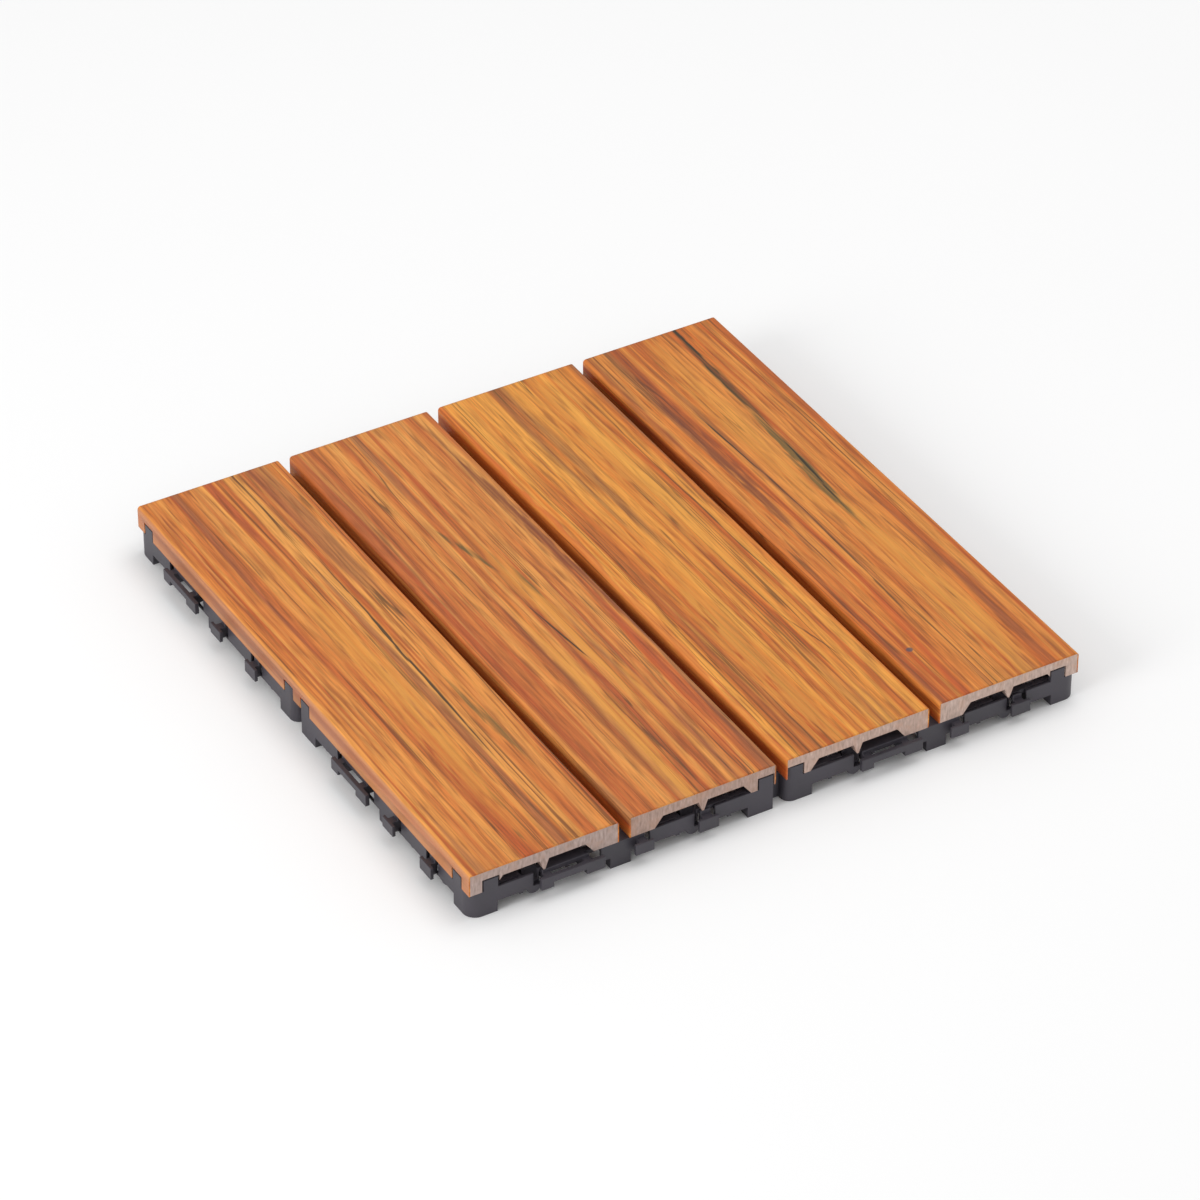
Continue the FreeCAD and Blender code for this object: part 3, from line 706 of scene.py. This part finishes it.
def top_relief(left, right, near, far, seed):
    """Grid points of a plank's top: z is the top less the groove depth times how deep the noise dips."""
    across = np.linspace(left, right, CELLS_ACROSS + 1)
    along = np.linspace(near, far, CELLS_ALONG + 1)
    groove = np.clip((-grain_field(across, along, seed) - GROOVE_START) / GROOVE_RANGE, 0, 1)
    fade_across = np.clip(np.minimum(across - left, right - across) / FADE_ACROSS, 0, 1)[:, None]
    fade_along = np.clip(np.minimum(along - near, far - along) / FADE_ALONG, 0, 1)[None, :]
    groove = groove * fade_across * fade_along
    x, y = np.meshgrid(across, along, indexing="ij")
    return np.stack([x, y, plank_top - GROOVE_DEPTH * groove], axis=-1), groove


def grid_faces(rows, columns):
    """Four corner numbers for each cell of a grid whose points are numbered row by row."""
    first = (np.arange(rows - 1)[:, None] * columns + np.arange(columns - 1)[None, :]).ravel()
    return np.stack([first, first + columns, first + columns + 1, first + 1], axis=1)


print("cells of", round(plank_width / CELLS_ACROSS * 1000, 2), "mm across, grooves",
      round(GROOVE_DEPTH * 1000, 2), "mm deep")

# %% [markdown]
# ## The planks
#
# Only the top of a plank is embossed, so only its top is exchanged: the flat face comes out, the grid
# goes in, and the border of the hole is cut into as many parts as the grid has cells, so both meet
# point by point. Subdividing the whole plank would spend its triangles inside the hollow as well.

# %% Planks
BORDER_MERGE = 2e-6
TOP_TOLERANCE = 1e-5


def split_border(shape, cells_by_direction):
    """Cut each open border edge into as many parts as the grid has cells along it."""
    for direction, cells in cells_by_direction.items():
        edges = [edge for edge in shape.edges if edge.is_boundary
                 and abs(edge.verts[0].co[direction] - edge.verts[1].co[direction]) > plank_width / 4]
        bmesh.ops.subdivide_edges(shape, edges=edges, cuts=cells - 1)


def dress_plank(name, seed):
    """Exchange a plank's flat top for the embossed grid."""
    shape = merged_copy(name)
    tops = [face for face in shape.faces
            if face.normal.z > 0.999 and face.calc_center_median().z > plank_top - TOP_TOLERANCE]
    corners = [vert.co for face in tops for vert in face.verts]
    left, right = min(point.x for point in corners), max(point.x for point in corners)
    near, far = min(point.y for point in corners), max(point.y for point in corners)
    bmesh.ops.delete(shape, geom=tops, context="FACES_ONLY")
    split_border(shape, {0: CELLS_ACROSS, 1: CELLS_ALONG})

    points, groove = top_relief(left, right, near, far, seed)
    mesh = bpy.data.meshes.new(f"{name}_relief")
    mesh.from_pydata(points.reshape(-1, 3).tolist(), [], grid_faces(*groove.shape).tolist())
    depths = mesh.attributes.new("groove", "FLOAT", "POINT")
    depths.data.foreach_set("value", groove.ravel().astype(np.float32))
    shape.from_mesh(mesh)
    bmesh.ops.remove_doubles(shape, verts=shape.verts, dist=BORDER_MERGE)
    open_edges = sum(edge.is_boundary for edge in shape.edges)
    piece = finish_piece(shape, f"{name}_dressed", plank_material, name)
    print(piece.name, len(piece.data.polygons), "faces,", open_edges, "open edges")
    return piece


for seed, name in enumerate(PLANKS, start=11):
    dress_plank(name, seed)

# %% [markdown]
# ## The base
#
# A moulding has no sharp outside edge: the tool is rounded by a few tenths of a millimetre, and the
# light catches that round. A bevel on the merged copy gives it. Each edge that has room for the
# round is marked with a weight, because a bevel on the shortest edges would fold over itself.

# %% Base moulding
MOULD_ROUND = 0.00022
SHORTEST_NEIGHBOUR = 0.0006
ROUND_FROM_ANGLE = math.radians(50)


def rounded(edge):
    """True for an outside corner of the moulding with room for the round at both of its ends."""
    if len(edge.link_faces) != 2 or not edge.is_convex or edge.calc_face_angle() < ROUND_FROM_ANGLE:
        return False
    beside = {other for vert in edge.verts for other in vert.link_edges}
    return min(other.calc_length() for other in beside) > SHORTEST_NEIGHBOUR


def dress_base():
    """The moulding with its outside edges rounded."""
    shape = merged_copy("base_grid")
    shape.normal_update()
    weight = shape.edges.layers.float.new("bevel_weight_edge")
    chosen = [edge for edge in shape.edges if rounded(edge)]
    for edge in chosen:
        edge[weight] = 1.0
    piece = finish_piece(shape, "base_moulding", base_material, "base_grid")
    bevel = piece.modifiers.new("mould_round", "BEVEL")
    bevel.width = MOULD_ROUND
    bevel.segments = 2
    bevel.limit_method = "WEIGHT"
    bevel.use_clamp_overlap = False
    print(piece.name, len(piece.data.polygons), "faces before the bevel,", len(chosen), "edges rounded")
    return piece


dress_base()

# %% [markdown]
# ## The screws
#
# The screws sit deep in their bosses and show only from below, so the solids themselves are shown,
# with the zinc on them.

# %% Screws
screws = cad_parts["plank_screws"]
screws.data.materials.clear()
screws.data.materials.append(screw_material)
print("screws:", len(screws.data.polygons), "triangles in", screw_material.name)

# %% [markdown]
# ## Stage and light
#
# A pale floor, an even bright surround and two broad soft lamps. The key lamp hangs above the tile,
# to the right, so the faces in the gaps lie in shade. The fill lamp stands low on the left and lights
# the long side. Together they light a level surface at about the strength at which a colour renders
# as it is written.

# %% Floor
FLOOR_SIDE = 8.0
FLOOR_COLOURS = [(0.0, "F9F9F9"), (1.0, "FBFBFB")]

half = FLOOR_SIDE / 2
floor_corners = [(-half, -half, low.z), (half, -half, low.z), (half, half, low.z), (-half, half, low.z)]
floor_mesh = bpy.data.meshes.new("floor")
floor_mesh.from_pydata(floor_corners, [], [(0, 1, 2, 3)])
floor = bpy.data.objects.new("floor", floor_mesh)
bpy.context.scene.collection.objects.link(floor)
floor_material, floor_tree, floor_shader, floor_spot = new_material("pale_floor")
speckle = add(floor_tree, "ShaderNodeTexNoise", {"Vector": floor_spot, "Scale": 3.0}).outputs[0]
floor_tree.links.new(ramp(floor_tree, speckle, FLOOR_COLOURS), floor_shader.inputs["Base Color"])
floor_shader.inputs["Roughness"].default_value = 0.9
floor_shader.inputs["Specular IOR Level"].default_value = 0.1
floor_mesh.materials.append(floor_material)
print("floor", FLOOR_SIDE, "m square at z", round(low.z, 4))

# %% Lamps and surround
SURROUND = 0.68


def soft_lamp(name, place, size, level):
    """A round lamp aimed at the tile. Its power gives the wanted level on a surface that faces it:
    a matt white surface at distance r looks as bright as P / (pi r)^2."""
    lamp = bpy.data.objects.new(name, bpy.data.lights.new(name, "AREA"))
    way = aim - Vector(place)
    lamp.data.shape = "DISK"
    lamp.data.size = size
    lamp.data.energy = level * (math.pi * way.length) ** 2
    lamp.location = place
    lamp.rotation_euler = way.to_track_quat("-Z", "Y").to_euler()
    bpy.context.scene.collection.objects.link(lamp)
    print(name, round(lamp.data.energy, 1), "W at", round(way.length, 2), "m")


soft_lamp("key_lamp", place=(0.7, 0.1, 2.15), size=1.6, level=0.25)
soft_lamp("fill_lamp", place=(-2.2, -0.3, 0.95), size=1.2, level=0.42)

world = bpy.data.worlds.new("surround")
bpy.context.scene.world = world
world.use_nodes = True
world.node_tree.nodes["Background"].inputs["Strength"].default_value = SURROUND
world.node_tree.nodes["Background"].inputs["Color"].default_value = (1.0, 1.0, 1.0, 1.0)
bpy.context.scene.view_settings.view_transform = "Standard"

# %% [markdown]
# ## Finish
#
# The dressed tile is meant to fit the solids' box, which is printed where the solids are loaded. The
# view layer is brought up to date.

# %% Finish
bpy.context.view_layer.update()
